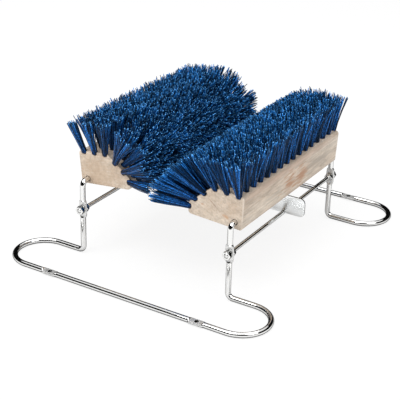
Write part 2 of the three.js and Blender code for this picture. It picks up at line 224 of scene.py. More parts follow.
def bright_plating():
    """Bright plating on drawn steel: a mirror with faint clouding and fine waviness left by the drawing, and
    duller where the wire was coined."""
    material, tree, shader = new_finish("bright_plating", Base_Color=(0.83, 0.83, 0.82, 1), Metallic=1.0,
                                        Specular_Tint=(0.03, 0.03, 0.03, 1))
    place = add_node(tree, "ShaderNodeTexCoord").outputs["Object"]
    cloud = add_node(tree, "ShaderNodeTexNoise", Vector=place, Scale=140.0, Detail=4.0)
    drawn = add_node(tree, "ShaderNodeMapRange", Value=cloud.outputs["Fac"], From_Min=0.3, From_Max=0.7,
                     To_Min=0.02, To_Max=0.05)
    pressed = add_node(tree, "ShaderNodeAttribute", {"attribute_name": "coined"})
    rough = add_node(tree, "ShaderNodeMix", Factor=pressed.outputs["Fac"], A=drawn.outputs["Result"], B=0.48)
    tree.links.new(rough.outputs[0], shader.inputs["Roughness"])
    waves = add_node(tree, "ShaderNodeTexNoise", Vector=place, Scale=420.0, Detail=2.0)
    bump = add_node(tree, "ShaderNodeBump", Height=waves.outputs["Fac"], Strength=0.015, Distance=0.0004)
    tree.links.new(bump.outputs["Normal"], shader.inputs["Normal"])
    return material


plating = bright_plating()
front_rings, pressed_flat = wire_rings()
pad_drills = np.stack([drill(2, (x, -rail_y, wire_radius), screw_hole_radius, screw_hole_length)
                       for x in (-pad_x, pad_x)])
for end, turn in (("front", (1, 1, 1)), ("rear", (-1, -1, 1))):
    wire_frame = put_in_scene(f"{end}_wire_frame", skinned("wire", front_rings * turn), plating)
    wire_frame.data.attributes.new("coined", "FLOAT", "POINT").data.foreach_set("value", pressed_flat.ravel())
    for holes in pad_drills:
        cut_away(wire_frame, skinned("pad_hole", holes * turn))
    wire_frame.data.set_sharp_from_angle(angle=math.radians(35))
    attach(wire_frame, "frame")
    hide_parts(f"{end}_frame")


# Tie rods
# Two plain steel rods, plated like the frames, with a rolled thread at each end. They hold the two wire
# frames apart, and the scraper plate rides on them.

rod_radius = 0.0025
thread_radius = 0.0027
thread_root = 0.00225
thread_pitch = 0.001
thread_runout = 0.001
rod_end = 0.14475
thread_start = 0.1262
tip_depth = 0.0004                       # of the chamfer at the rod's tips, below the thread's root


def tie_rod(x):
    """Turned surface about the rod's axis. In the thread the radius follows a triangle wave of the place
    along the rod plus one pitch for each turn; at the tip it is chamfered."""
    angle = np.linspace(0, 2 * math.pi, 32, endpoint=False)
    thread = np.arange(thread_start, rod_end, thread_pitch / 8)
    y = np.concatenate([-thread[::-1], np.linspace(-thread_start, thread_start, 9)[1:-1], thread])[:, None]
    phase = (y / thread_pitch + angle / (2 * math.pi)) % 1
    ridge = thread_root + (thread_radius - thread_root) * np.clip(1.25 * (1 - abs(2 * phase - 1)), 0, 1)
    runout = np.clip((abs(y) - thread_start) / thread_runout, 0, 1)
    radius = rod_radius + runout * (ridge - rod_radius)
    radius = np.minimum(radius, thread_root - tip_depth + np.clip(rod_end - abs(y), 0, 1))
    rings = np.stack([x + radius * np.cos(angle), y + 0 * radius, rod_height + radius * np.sin(angle)], -1)
    return skinned("tie_rod", rings)


for side, x in (("left", -upright_x), ("right", upright_x)):
    rod = put_in_scene(f"{side}_tie_rod", tie_rod(x), plating, sharp_above=60)
    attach(rod, "frame")
    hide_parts(f"{side}_rod")


# Nuts and spring washers
# Hexagon nuts clamp each coined eye from both sides, with a split spring washer under the outer one.
# Plated steel; the nuts are chamfered on both faces, the washers wound from square wire.

nut_flats = 0.010
nut_height = 0.0046
eye_face = eye_half[2]
seat = 0.0003
washer_height = 0.0013
washer_radius = 0.0053
washer_bore = 0.003


def hexagon_nut():
    """Nut about its own axis: the radius is the smaller of the hexagon's and of a 30 degree cone at each
    face, and it runs on over the faces into the mouth of the bore."""
    cone_share, cone_slope = 0.34, 1.73      # share of half the nut's height; the tangent of 60 degrees
    face_radius = 0.47 * nut_flats
    bore, bore_mouth, countersink = 1.02 * thread_radius, 1.16 * thread_radius, 0.0005
    angle = np.linspace(0, 2 * math.pi, 96, endpoint=False)
    hexagon = nut_flats / 2 / np.cos((angle + math.pi / 6) % (math.pi / 3) - math.pi / 6)
    height = nut_height / 2 * np.concatenate([[-1, -1], -1 + cone_share * np.linspace(0, 1, 7), [0],
                                              1 - cone_share * np.linspace(1, 0, 7), [1, 1]])
    cone = face_radius + (nut_height / 2 - abs(height)) * cone_slope
    radius = np.minimum(hexagon, cone[:, None])
    radius[0] = radius[-1] = bore
    radius[1] = radius[-2] = bore_mouth
    inset = np.zeros(len(height))
    inset[[0, -1]] = countersink, -countersink
    height = (height + inset)[:, None]
    return np.stack([radius * np.sin(angle), height + 0 * radius, radius * np.cos(angle)], -1)


def spring_washer():
    """Split ring: a rounded square section carried round almost a full turn while it climbs by its set."""
    split, climb = 8, 0.0001                 # half the split, in degrees, and half of the set
    turn = np.radians(np.linspace(split, 360 - split, 72))[:, None]
    corner = np.linspace(0, 2 * math.pi, 16, endpoint=False)
    square = np.stack([np.cos(corner), np.sin(corner)])
    square = square / np.maximum(abs(square[0]), abs(square[1])) ** 0.8
    reach = (washer_radius + washer_bore) / 2 + (washer_radius - washer_bore) / 2 * square[0]
    height = washer_height * 0.46 * square[1] + climb * (turn / math.pi - 1)
    return np.stack([reach * np.sin(turn), height, reach * np.cos(turn)], -1)


outer_nut_y = eye_face + 2 * seat + washer_height + nut_height / 2
for end, out in (("front", -1), ("rear", 1)):
    for side, x in (("left", -upright_x), ("right", upright_x)):
        for what, rings, y in (("outer_nut", hexagon_nut(), outer_nut_y),
                               ("washer", spring_washer(), eye_face + seat + washer_height / 2),
                               ("inner_nut", hexagon_nut(), -(eye_face + seat + nut_height / 2))):
            turned = rings * (out, out, 1) + (x, out * (upright_y + y), rod_height)
            mesh = skinned(what, turned, closed=what != "washer")
            fitting = put_in_scene(f"{end}_{side}_{what}_turned", mesh, plating, sharp_above=28)
            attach(fitting, "frame")
            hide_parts(f"{end}_{side}_{what}")


# Scraper plate
# A strip of 2 mm sheet steel on edge, its corners rounded off and its edges broken, notched from below to
# drop over the tie rods. Plated like the rest, but rolled sheet mirrors more softly than drawn wire.

plate_half = 0.1365
plate_low, plate_high = 0.0619, 0.0873
plate_thick = 0.002
plate_corner = 0.007
notch_radius = 0.0028
broken_edge = 0.00035


def arc(x, z, radius, start, stop, steps=10):
    """Points on a circle from one angle to another, in degrees."""
    angle = np.radians(np.linspace(start, stop, steps))
    return np.stack([x + radius * np.cos(angle), z + radius * np.sin(angle)], -1)


def drawn_in(outline, depth):
    """Outline shifted inwards by a depth, along the normal of the chord between each point's neighbours."""
    chord = np.roll(outline, -1, axis=0) - np.roll(outline, 1, axis=0)
    inward = np.stack([-chord[:, 1], chord[:, 0]], -1)
    return outline + depth * inward / np.linalg.norm(inward, axis=1, keepdims=True)


def notch(x):
    """Outline of a notch: up from the plate's lower edge, over the rod, and down again."""
    over = arc(x, rod_height, notch_radius, 180, 0)
    return np.concatenate([over[:1] * (1, 0) + (0, plate_low), over, over[-1:] * (1, 0) + (0, plate_low)])


def scraper():
    """Plate as rings of its outline: drawn in a little at each face, full size between them."""
    far, r = plate_half - plate_corner, plate_corner
    outline = np.concatenate([
        notch(-upright_x), notch(upright_x),
        arc(far, plate_low + r, r, -90, 0), arc(far, plate_high - r, r, 0, 90),
        arc(-far, plate_high - r, r, 90, 180), arc(-far, plate_low + r, r, 180, 270)])
    half = plate_thick / 2
    layers = [(-half, broken_edge), (-half + 0.0001, 0.00012), (-half + broken_edge, 0),
              (half - broken_edge, 0), (half - 0.0001, 0.00012), (half, broken_edge)]
    rings = [np.insert(drawn_in(outline, depth), 1, y, axis=1) for y, depth in layers]
    return skinned("scraper", np.stack(rings))


def soft_plating():
    """Plated rolled sheet: a soft mirror, finely streaked along the plate, dulled in drifting patches. Its
    sheared edge is painted much darker than its faces, as painted shade for the thin dark outline round the
    plate."""
    material, tree, shader = new_finish("soft_plating", Metallic=1.0)
    place = add_node(tree, "ShaderNodeTexCoord").outputs["Object"]
    axes = add_node(tree, "ShaderNodeSeparateXYZ", Vector=place)
    depth = add_node(tree, "ShaderNodeMath", {"operation": "ABSOLUTE"}, n0=axes.outputs["Y"])
    # painted shade: the sheared edge gets a much darker base colour than the faces
    painted_edge_shade = add_node(tree, "ShaderNodeMapRange", Value=depth.outputs[0], From_Min=0.00084, From_Max=0.00099,
                    To_Min=0.12, To_Max=1.0)
    tone = add_node(tree, "ShaderNodeVectorMath", {"operation": "SCALE"}, n0=(0.95, 0.97, 0.975),
                    Scale=painted_edge_shade.outputs["Result"])
    tree.links.new(tone.outputs[0], shader.inputs["Base Color"])
    rolled = add_node(tree, "ShaderNodeMapping", Vector=place, Scale=(0.06, 1, 1))
    streaks = add_node(tree, "ShaderNodeTexNoise", Vector=rolled.outputs[0], Scale=1800.0, Detail=2.0)
    patches = add_node(tree, "ShaderNodeTexNoise", Vector=place, Scale=45.0, Detail=3.0)
    both = add_node(tree, "ShaderNodeMath", {"operation": "MULTIPLY"}, n0=streaks.outputs["Fac"],
                    n1=patches.outputs["Fac"])
    rough = add_node(tree, "ShaderNodeMapRange", Value=both.outputs[0], From_Min=0.12, From_Max=0.38,
                     To_Min=0.23, To_Max=0.27)
    tree.links.new(rough.outputs["Result"], shader.inputs["Roughness"])
    bump = add_node(tree, "ShaderNodeBump", Height=streaks.outputs["Fac"], Strength=0.01, Distance=0.0001)
    tree.links.new(bump.outputs["Normal"], shader.inputs["Normal"])
    return material


plate = put_in_scene("scraper", scraper(), soft_plating(), sharp_above=40)
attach(plate, "frame")
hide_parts("scraper_plate")


# Brush blocks
# Two lengths of pale, close-grained hardwood, planed to a five-sided section with the edges rounded over.
# Blind holes in the ends take the wire pins, and drilled holes in the top, slant and nose take the tufts.

block_half = 0.127
outer_face, nose_face = -0.010, 0.064
underside, slant_foot, block_top = -0.0078, 0.0078, 0.0357
slant_angle = math.radians(42.4)
fold_at = nose_face - (block_top - slant_foot) / math.tan(slant_angle)
slant_run = (nose_face - fold_at) / math.cos(slant_angle)
mouth_radius = 0.0040
pin_hole_radius = wire_radius + 0.0004
pin_hole_middle, pin_hole_length = 0.1155, 0.036
tilts = {"left": math.radians(6.3), "right": math.radians(3.0)}
bore_strays = {"left": 0.0012, "right": -0.0012}      # how much higher on its pins a block sits
slides = {"left": 0.0027, "right": 0}


def in_place(points, side):
    """From the block's own frame (towards the middle, along, up, from its pin) to the stand's: turned by the
    brush's tilt, then set on the pin, facing the middle."""
    toward, along, up = np.moveaxis(points + np.array([0, slides[side], bore_strays[side]]), -1, 0)
    cosine, sine = math.cos(tilts[side]), math.sin(tilts[side])
    across = upright_x - (toward * cosine - up * sine)
    height = pin_height + toward * sine + up * cosine
    return np.stack([-across if side == "left" else across, along, height], -1)


def block_outline(depth):
    """The five-sided section with each corner an arc, shifted inwards by a depth: the sides move in and the
    arcs keep their centres."""
    corners = np.array([(outer_face, underside), (nose_face, underside), (nose_face, slant_foot),
                        (fold_at, block_top), (outer_face, block_top)])
    radii = np.array([0.003, 0.0045, 0.005, 0.0045, 0.0042])
    before = np.roll(corners, 1, axis=0) - corners
    after = np.roll(corners, -1, axis=0) - corners
    before /= np.linalg.norm(before, axis=1, keepdims=True)
    after /= np.linalg.norm(after, axis=1, keepdims=True)
    half = np.arccos((before * after).sum(1)) / 2
    bisector = (before + after) / np.linalg.norm(before + after, axis=1, keepdims=True)
    centres = corners + bisector * (radii / np.sin(half))[:, None]
    middle = np.arctan2(-bisector[:, 1], -bisector[:, 0])
    sweep = (math.pi / 2 - half)[:, None] * np.linspace(-1, 1, 9)
    angle = middle[:, None] + sweep
    arcs = (radii - depth)[:, None, None] * np.stack([np.cos(angle), np.sin(angle)], -1)
    return (centres[:, None] + arcs).reshape(-1, 2)


def block_rings():
    """Outlines along the block: near each end they are drawn in along a quarter circle, which rounds the
    edge."""
    ease = 0.0012
    quarter = np.linspace(0, math.pi / 2, 6)
    depth, back = ease * (1 - np.sin(quarter)), ease * (1 - np.cos(quarter))
    places = np.concatenate([back - block_half, (block_half - back)[::-1]])
    depths = np.concatenate([depth, depth[::-1]])
    return np.stack([np.insert(block_outline(d), 1, y, axis=1) for y, d in zip(places, depths)])


# Rows of tufts: those on top are counted from the outer face, those past the fold from the fold
top_rows, nose_rows = 3, 5
row_runs = 0.008 + 0.016 * np.arange(top_rows), 0.015 + 0.008 * np.arange(nose_rows)
last_column = 0.1257
columns = np.linspace(-last_column, 0.1250, 16)
between_columns = (columns[1:] + columns[:-1]) / 2
# The outline that the tips are trimmed to, in the block's frame, from the outer tips round to the lowest ones
trims = {"left": np.array([(-0.0145, 0.0750), (0.0200, 0.0778), (0.0560, 0.0785), (0.0950, 0.0470),
                           (0.1040, 0.0120), (0.1045, -0.0060)]),
         "right": np.array([(-0.0130, 0.0800), (0.0200, 0.0812), (0.0560, 0.0755), (0.0905, 0.0460),
                            (0.1010, 0.0290), (0.1055, 0.0090), (0.1055, -0.0050)])}


def tuft_mouths():
    """Where the tufts stand: the place of each and which way its row runs on, then its row and whether it
    stands past the fold, where every other row stands between the columns."""
    places = []
    for row, run in enumerate(row_runs[0]):
        places += [(outer_face + run, y, block_top, 1, 0, row, 0) for y in columns]
    for row, run in enumerate(row_runs[1]):
        down = (math.cos(slant_angle), -math.sin(slant_angle)) if run < slant_run else (0, -1)
        slant_part = min(run, slant_run)
        here = (fold_at + slant_part * math.cos(slant_angle),
                block_top - slant_part * math.sin(slant_angle) - max(0, run - slant_run))
        places += [(here[0], y, here[1], *down, row, 1) for y in (between_columns if row % 2 else columns)]
    return np.array(places)


def on_trim(side, past_fold, share):
    """Point at a share of the trimmed outline: of its part over the top, which ends at its third corner, or
    of the part past the fold. Beyond its ends the outline runs straight on."""
    chain = trims[side]
    lengths = np.concatenate([[0], np.cumsum(np.linalg.norm(np.diff(chain, axis=0), axis=1))])
    fold = lengths[2]
    run = np.where(past_fold > 0, fold + share * (lengths[-1] - fold), share * fold)
    ahead, behind = np.maximum(run - lengths[-1], 0), np.minimum(run, 0)
    return np.stack([np.interp(run, lengths, chain[:, 0]) + behind,
                     np.interp(run, lengths, chain[:, 1]) - ahead], -1)


def row_places(mouths, side):
    """Where each tuft stands in its part of the trimmed outline, counted in rows: evenly, but past the fold
    the tufts towards the ends are turned down, in front more than at the rear, and less from row to row with
    the square of the row's number. On the left brush the first row is turned down less than the second."""
    y, row, past_fold = mouths[:, 1], mouths[:, 5], mouths[:, 6]
    turned = np.where(y < 0, 1, 0.3) * (abs(y) / last_column) ** 3
    settled = 0.062 * row ** 2 + 0.4 * (row == 0) if side == "left" else 0.075 * row ** 2
    return row + 0.5 + past_fold * turned * (1 - settled)


def tuft_aims(mouths, side):
    """Where the middle of each tuft's tips stands: rows spread over the trimmed outline, and the tufts near
    the ends lean out with the fourth power of their place, in front more than at the rear."""
    y, past_fold = mouths[:, 1], mouths[:, 6]
    aim = on_trim(side, past_fold, row_places(mouths, side) / np.where(past_fold > 0, nose_rows, top_rows))
    lean = np.where(y < 0, -0.0175, 0.0045 + 0.003 * past_fold) * (abs(y) / 0.1252) ** 4
    return np.stack([aim[:, 0], y + lean, aim[:, 1]], -1)


def hole_axes(mouths, side):
    """Way out of each tuft hole: square to the surface, but drilled a little towards where its tuft
    points."""
    aslant = 0.35
    square = np.stack([-mouths[:, 4], 0 * mouths[:, 4], mouths[:, 3]], -1)
    aim = tuft_aims(mouths, side) - mouths[:, :3]
    axis = square + aslant * aim / np.linalg.norm(aim, axis=1, keepdims=True)
    return axis / np.linalg.norm(axis, axis=1, keepdims=True)


def tubes(centres, headings, radii, turn, sides):
    """Rings of corners round many lines at once: each ring square to its heading, with its own radius."""
    first = np.cross(headings, (0, 1, 0.02))
    first /= np.linalg.norm(first, axis=-1, keepdims=True)
    second = np.cross(headings, first)
    angle = (np.linspace(0, 2 * math.pi, sides, endpoint=False) + turn)[..., None]
    return centres[..., None, :] + radii[..., None, None] * (
        np.cos(angle) * first[..., None, :] + np.sin(angle) * second[..., None, :])


def joined(name, solids):
    """One mesh of many tubes: quads between neighbouring rings, and a flat face over each end."""
    count, rings, sides = solids.shape[:3]
    corner = np.arange(count * rings * sides).reshape(count, rings, sides)
    beside = np.roll(corner, -1, axis=2)
    walls = np.stack([corner[:, :-1], beside[:, :-1], beside[:, 1:], corner[:, 1:]], -1)
    faces = walls.reshape(-1, 4).tolist() + corner[:, 0, ::-1].tolist() + corner[:, -1].tolist()
    mesh = bpy.data.meshes.new(name)
    mesh.from_pydata(solids.reshape(-1, 3), [], faces)
    facing_out(mesh)
    return mesh


def mouth_cutters(side):
    """Cutters for the tuft holes: round bars with the blunt point that a drill leaves."""
    mouths = tuft_mouths()
    axis = hole_axes(mouths, side)[:, None]
    heights = np.array([-0.0046, -0.0038, -0.0026, 0.004])
    radii = np.broadcast_to(mouth_radius * np.array([0.3, 0.78, 1, 1]), (len(mouths), 4))
    centres = mouths[:, None, :3] + heights[:, None] * axis
    rings = tubes(centres, np.broadcast_to(axis, centres.shape), radii, 0, 20)
    return in_place(rings, side)


def bare_hardwood():
    """Planed hardwood as a solid texture: pores and fibres drawn out along the length, so they are specks on
    the ends and fine streaks on the sides, over faint growth rings and a mottled figure that runs aslant.
    The marks of this piece, among them a painted highlight and painted shade, come on top."""
    material, tree, shader = new_finish("bare_hardwood", Roughness=0.62)
    place = add_node(tree, "ShaderNodeTexCoord").outputs["Object"]
    fibre_place = add_node(tree, "ShaderNodeMapping", Vector=place, Scale=(1, 0.045, 1))
    fibre = add_node(tree, "ShaderNodeTexNoise", Vector=fibre_place.outputs[0], Scale=620.0, Detail=5.0,
                     Roughness=0.62)
    pore_place = add_node(tree, "ShaderNodeMapping", Vector=place, Scale=(1, 0.16, 1))
    pores = add_node(tree, "ShaderNodeTexNoise", Vector=pore_place.outputs[0], Scale=1500.0, Detail=2.0)
    drift_place = add_node(tree, "ShaderNodeMapping", Vector=place, Scale=(1, 0.22, 1))
    drift = add_node(tree, "ShaderNodeTexNoise", Vector=drift_place.outputs[0], Scale=38.0, Detail=3.0,
                     Distortion=0.4)
    ring_place = add_node(tree, "ShaderNodeMapping", Vector=place, Location=(0.05, 0, 0.14),
                          Scale=(1, 0.05, 1))
    rings = add_node(tree, "ShaderNodeTexWave", {"wave_type": "RINGS", "rings_direction": "Y"},
                     Vector=ring_place.outputs[0], Scale=85.0, Distortion=2.2, Detail=2.0, Detail_Scale=0.6)
    figure_place = add_node(tree, "ShaderNodeMapping", Vector=place, Rotation=(math.radians(-32), 0, 0),
                            Scale=(1, 0.16, 1))
    figure = add_node(tree, "ShaderNodeTexNoise", Vector=figure_place.outputs[0], Scale=210.0, Detail=4.0,
                      Roughness=0.65, Distortion=0.5)

    clouded = add_node(tree, "ShaderNodeMapRange", Value=drift.outputs["Fac"], From_Min=0.32, From_Max=0.66)
    base = add_node(tree, "ShaderNodeMix", {"data_type": "RGBA"}, Factor=clouded.outputs["Result"],
                    n6=(0.46, 0.378, 0.302, 1), n7=(0.61, 0.545, 0.462, 1))
    ringed_share = add_node(tree, "ShaderNodeMath", {"operation": "MULTIPLY"}, n0=rings.outputs["Fac"],
                            n1=0.28)
    ringed = add_node(tree, "ShaderNodeMix", {"data_type": "RGBA"}, Factor=ringed_share.outputs[0],
                      n6=base.outputs[2], n7=(0.45, 0.335, 0.245, 1))
    fibre_share = add_node(tree, "ShaderNodeMapRange", Value=fibre.outputs["Fac"], From_Min=0.5,
                           From_Max=0.75, To_Max=0.7)
    streaked = add_node(tree, "ShaderNodeMix", {"data_type": "RGBA"}, Factor=fibre_share.outputs[0],
                        n6=ringed.outputs[2], n7=(0.47, 0.34, 0.23, 1))
    pore_share = add_node(tree, "ShaderNodeMapRange", Value=pores.outputs["Fac"], From_Min=0.58,
                          From_Max=0.72, To_Max=0.55)
    pored = add_node(tree, "ShaderNodeMix", {"data_type": "RGBA"}, Factor=pore_share.outputs[0],
                     n6=streaked.outputs[2], n7=(0.30, 0.2, 0.13, 1))
    figured = add_node(tree, "ShaderNodeMapRange", Value=figure.outputs["Fac"], From_Min=0.36, From_Max=0.64,
                       To_Min=0.8, To_Max=1.17)
    wood = add_node(tree, "ShaderNodeVectorMath", {"operation": "SCALE"}, n0=pored.outputs[2],
                    Scale=figured.outputs["Result"])

    def with_stain_or_painted_light(colour, at, reach, tone, strength, grain=fibre_place, frequency=260.0, turn=0.0, ragged=1.0):
        """Mixes a tone in round a place: full at its centre, gone at its reach, ragged by noise. The turn, in
        degrees about the length of the brush, tips the first of its reaches over."""
        local = add_node(tree, "ShaderNodeMapping", {"vector_type": "TEXTURE"}, Vector=place, Location=at,
                         Rotation=(0, math.radians(turn), 0), Scale=reach)
        distance = add_node(tree, "ShaderNodeVectorMath", {"operation": "LENGTH"}, n0=local.outputs[0])
        noise = add_node(tree, "ShaderNodeTexNoise", Vector=grain.outputs[0], Scale=frequency, Detail=3.0)
        share = add_node(tree, "ShaderNodeMath", {"operation": "MULTIPLY_ADD"}, n0=noise.outputs["Fac"],
                         n1=ragged, n2=distance.outputs["Value"])
        edge = add_node(tree, "ShaderNodeMapRange", Value=share.outputs[0], From_Min=1 + 0.45 * ragged,
                        From_Max=0.4 + 0.35 * ragged, To_Max=strength)
        return add_node(tree, "ShaderNodeMix", {"data_type": "RGBA"}, Factor=edge.outputs[0], n6=colour,
                        n7=tone).outputs[2]

    # What marks this piece, and the light and shade painted on it, in the stand's frame: place, reach, tone
    # and strength of each stain or painted light
    end, outer = -0.127, 0.1175                       # the front ends and the right block's outer side
    patch = dict(grain=figure_place, frequency=330.0, ragged=3.0)
    patch_tone = (0.40, 0.215, 0.12, 1)
    stains_and_painted_light = (
        # a browner end on the right block, and a brown patch in two lobes on its outer side
        ((0.085, end, 0.108), (0.06, 0.01, 0.045), (0.42, 0.32, 0.235, 1), 0.25, {}),
        ((outer, -0.011, 0.1085), (0.012, 0.024, 0.024), patch_tone, 0.95, patch),
        ((outer, 0.021, 0.1085), (0.012, 0.025, 0.025), patch_tone, 0.95, patch),
        # a grey streak behind the patch, and browner edges above and below it; the upper one is partly the
        # wood's own colour and partly painted shade under the outer row of tufts
        ((0.117, 0.075, 0.112), (0.01, 0.045, 0.005), (0.36, 0.31, 0.26, 1), 0.7, {}),
        # partly painted shade: the tufts' shade on the upper edge of the outer side
        ((0.1185, 0, 0.130), (0.004, 0.2, 0.007), (0.44, 0.31, 0.24, 1), 0.55, {}),
        ((0.1165, 0, 0.0925), (0.005, 0.2, 0.0035), (0.40, 0.30, 0.23, 1), 0.5, {}),
        # a crack in the right block's end, with a brown mark at its foot and one beside it
        ((0.077, end, 0.116), (0.0125, 0.01, 0.0007), (0.24, 0.16, 0.11, 1), 0.75,
         dict(turn=41.4, ragged=0.3)),
        ((0.095, end, 0.1035), (0.007, 0.01, 0.003), (0.46, 0.26, 0.14, 1), 0.7,
         dict(frequency=500.0, turn=20)),
        ((0.0625, end, 0.1115), (0.003, 0.01, 0.002), (0.42, 0.24, 0.14, 1), 0.6, dict(ragged=0.3)),
        # a browner end on the left block, a painted highlight along the front outer arris of the right one,
        # and a brown spot on the left one
        ((-0.092, -0.125, 0.108), (0.05, 0.01, 0.04), (0.40, 0.285, 0.19, 1), 0.65, {}),
        # painted highlight: a pale line down the rounded front outer arris of the right block
        ((0.1178, -0.1268, 0.11), (0.0016, 0.0016, 0.06), (0.74, 0.67, 0.58, 1), 0.5, dict(ragged=0.2)),
        ((-0.1147, -0.125, 0.111), (0.0015, 0.01, 0.0015), (0.36, 0.17, 0.1, 1), 0.6, dict(ragged=0.2)))
    colour = wood.outputs[0]
    for at, reach, tone, strength, settings in stains_and_painted_light:
        colour = with_stain_or_painted_light(colour, at, reach, tone, strength, **settings)
    tree.links.new(colour, shader.inputs["Base Color"])
    bump = add_node(tree, "ShaderNodeBump", Height=fibre.outputs["Fac"], Strength=0.25, Distance=0.0003)
    tree.links.new(bump.outputs["Normal"], shader.inputs["Normal"])
    return material


hardwood = bare_hardwood()
for side in ("left", "right"):
    block = put_in_scene(f"{side}_wood_block", skinned("block", in_place(block_rings(), side)), hardwood)
    cut_away(block, joined("mouths", mouth_cutters(side)))
    x = -upright_x if side == "left" else upright_x
    for y in (-pin_hole_middle, pin_hole_middle):
        cut_away(block, skinned("pin_hole", drill(1, (x, y, pin_height), pin_hole_radius, pin_hole_length)))
    block.data.set_sharp_from_angle(angle=math.radians(30))
    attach(block, f"{side}_brush")
    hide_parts(f"{side}_block")


# Tufts
# Bundles of stiff, dark blue synthetic bristle, folded and stapled into the drilled holes. They fan out of
# their mouths, bend a little outwards, and are trimmed to one rounded outline over top and front.

strands_per_tuft = 66
root_radius = 0.0034
strand_radius = 0.00047
tips_half_width = 0.0096                 # of a tuft, along the block
tip_scatter, bend_scatter, trim_scatter = 0.15, 0.0008, 0.0017
trim_error = (-0.004, 0.0035)            # the most that a strand is cut too short or too long
golden_angle = 2.39996
trim_slopes = {"left": -0.008, "right": 0.004}       # how much the trimmed outline rises towards the rear


def end_share(mouths, way):
    """How near a tuft is to one end of the block: 1 in its last column, falling with the tenth power."""
    return (np.maximum(way * mouths[:, 1], 0) / last_column)[:, None] ** 10


def strand_curves(side, past_fold, chance):
    """Start, middle and end point of every strand of half a brush: roots on a sunflower spiral in the mouth,
    tips on the same spiral widened over the tuft's share of the trimmed outline, each a little off by chance.

    The tufts at the front end are tighter, the more so the lowest ones and the outer ones of the left brush,
    but they open towards the rear. The first one past the fold of the left brush fans the widest. Tufts at
    the rear end are a little narrower, and the outermost row keeps its strands side by side for longer."""
    mouths = tuft_mouths()
    mouths = mouths[mouths[:, 6] == past_fold]
    aims = tuft_aims(mouths, side)
    order = np.arange(strands_per_tuft) + 0.5
    spread = np.sqrt(order / strands_per_tuft)[None, :]
    turn = order * golden_angle + chance.uniform(0, 2 * math.pi, (len(mouths), 1))
    a, b = spread * np.cos(turn), spread * np.sin(turn)

    at_front, at_rear = end_share(mouths, -1), end_share(mouths, 1)
    on_top, row = 1 - past_fold, mouths[:, 5][:, None]
    lowest = past_fold * (row == nose_rows - 1)
    outermost = on_top * np.clip(1.3 - 0.6 * row, 0, 1)
    narrowing = {"left": 0.24 + 0.3 * outermost, "right": 0.05 - 0.1 * on_top}[side]
    tight = 1 - at_front * narrowing - 0.25 * at_front * lowest
    a_tip = tight * (a + chance.normal(0, tip_scatter, a.shape))
    b_tip = tight * (b + chance.normal(0, tip_scatter, b.shape))
    b_tip *= 1 - 0.25 * at_rear
    opened = 1 - 0.8 * outermost * (side == "left") - 0.4 * lowest
    b_tip += 1.1 * at_front * np.maximum(b, 0) * opened
    fan = 0.55 + 0.5 * at_front * past_fold * (row == 0) * (side == "left")

    rows = nose_rows if past_fold else top_rows
    tip = on_trim(side, past_fold, (row_places(mouths, side)[:, None] + fan * a_tip) / rows)
    y = aims[:, 1][:, None]
    tip = np.stack([tip[..., 0], y + tips_half_width * b_tip, tip[..., 1] + trim_slopes[side] * y], -1)
    axis = hole_axes(mouths, side)[:, None]
    down = np.insert(mouths[:, 3:5], 1, 0, axis=1)[:, None]
    sunk = 0.0014 + 0.0024 * np.sqrt(1 - spread ** 2)[..., None]
    root = mouths[:, None, :3] + root_radius * (a[..., None] * down + b[..., None] * (0, 1, 0)) - sunk * axis
    reach = tip - root
    length = np.linalg.norm(reach, axis=-1, keepdims=True)
    tip = tip + reach / length * np.clip(chance.normal(0, trim_scatter, length.shape), *trim_error)

    aimed = aims[:, None] - mouths[:, None, :3]
    aimed /= np.linalg.norm(aimed, axis=-1, keepdims=True)
    beside = np.where(at_front > 0.5, side == "left", on_top * (row == 0))[..., None]
    apart = 0.7 - 0.35 * beside
    middle = root + 0.45 * (apart * reach + (1 - apart) * length * aimed)
    middle += chance.normal(0, bend_scatter, middle.shape)
    return [in_place(points.reshape(-1, 3), side) for points in (root, middle, tip)]


def tufts(name, side, past_fold, seed):
    """Strands as five-sided tubes: each follows a parabola that leaves the root towards the middle point and
    comes in to the tip from it, with a ring of five corners square to it at every third. The map holds the
    share of the length and a chance tone."""
    chance = np.random.default_rng(seed)
    root, middle, tip = (points[:, None] for points in strand_curves(side, past_fold, chance))
    count, rings, sides = len(root), 4, 5
    share = np.linspace(0, 1, rings)[None, :, None]
    centres = (1 - share) ** 2 * root + 2 * share * (1 - share) * middle + share ** 2 * tip
    headings = (1 - share) * (middle - root) + share * (tip - middle)
    headings /= np.linalg.norm(headings, axis=-1, keepdims=True)
    solids = tubes(centres, headings, np.full((count, rings), strand_radius),
                   chance.uniform(0, math.pi, (count, 1, 1)), sides)
    mesh = joined(name, solids)

    tone = np.broadcast_to(chance.uniform(0, 1, (count, 1, 1)) ** 2.4, solids.shape[:3])
    along = np.broadcast_to(share, solids.shape[:3])
    loops = np.empty(len(mesh.loops), np.int32)
    mesh.loops.foreach_get("vertex_index", loops)
    mapped = np.stack([along.reshape(-1)[loops], tone.reshape(-1)[loops]], -1)
    mesh.uv_layers.new(name="strand").data.foreach_set("uv", mapped.astype(np.float32).ravel())
    return mesh


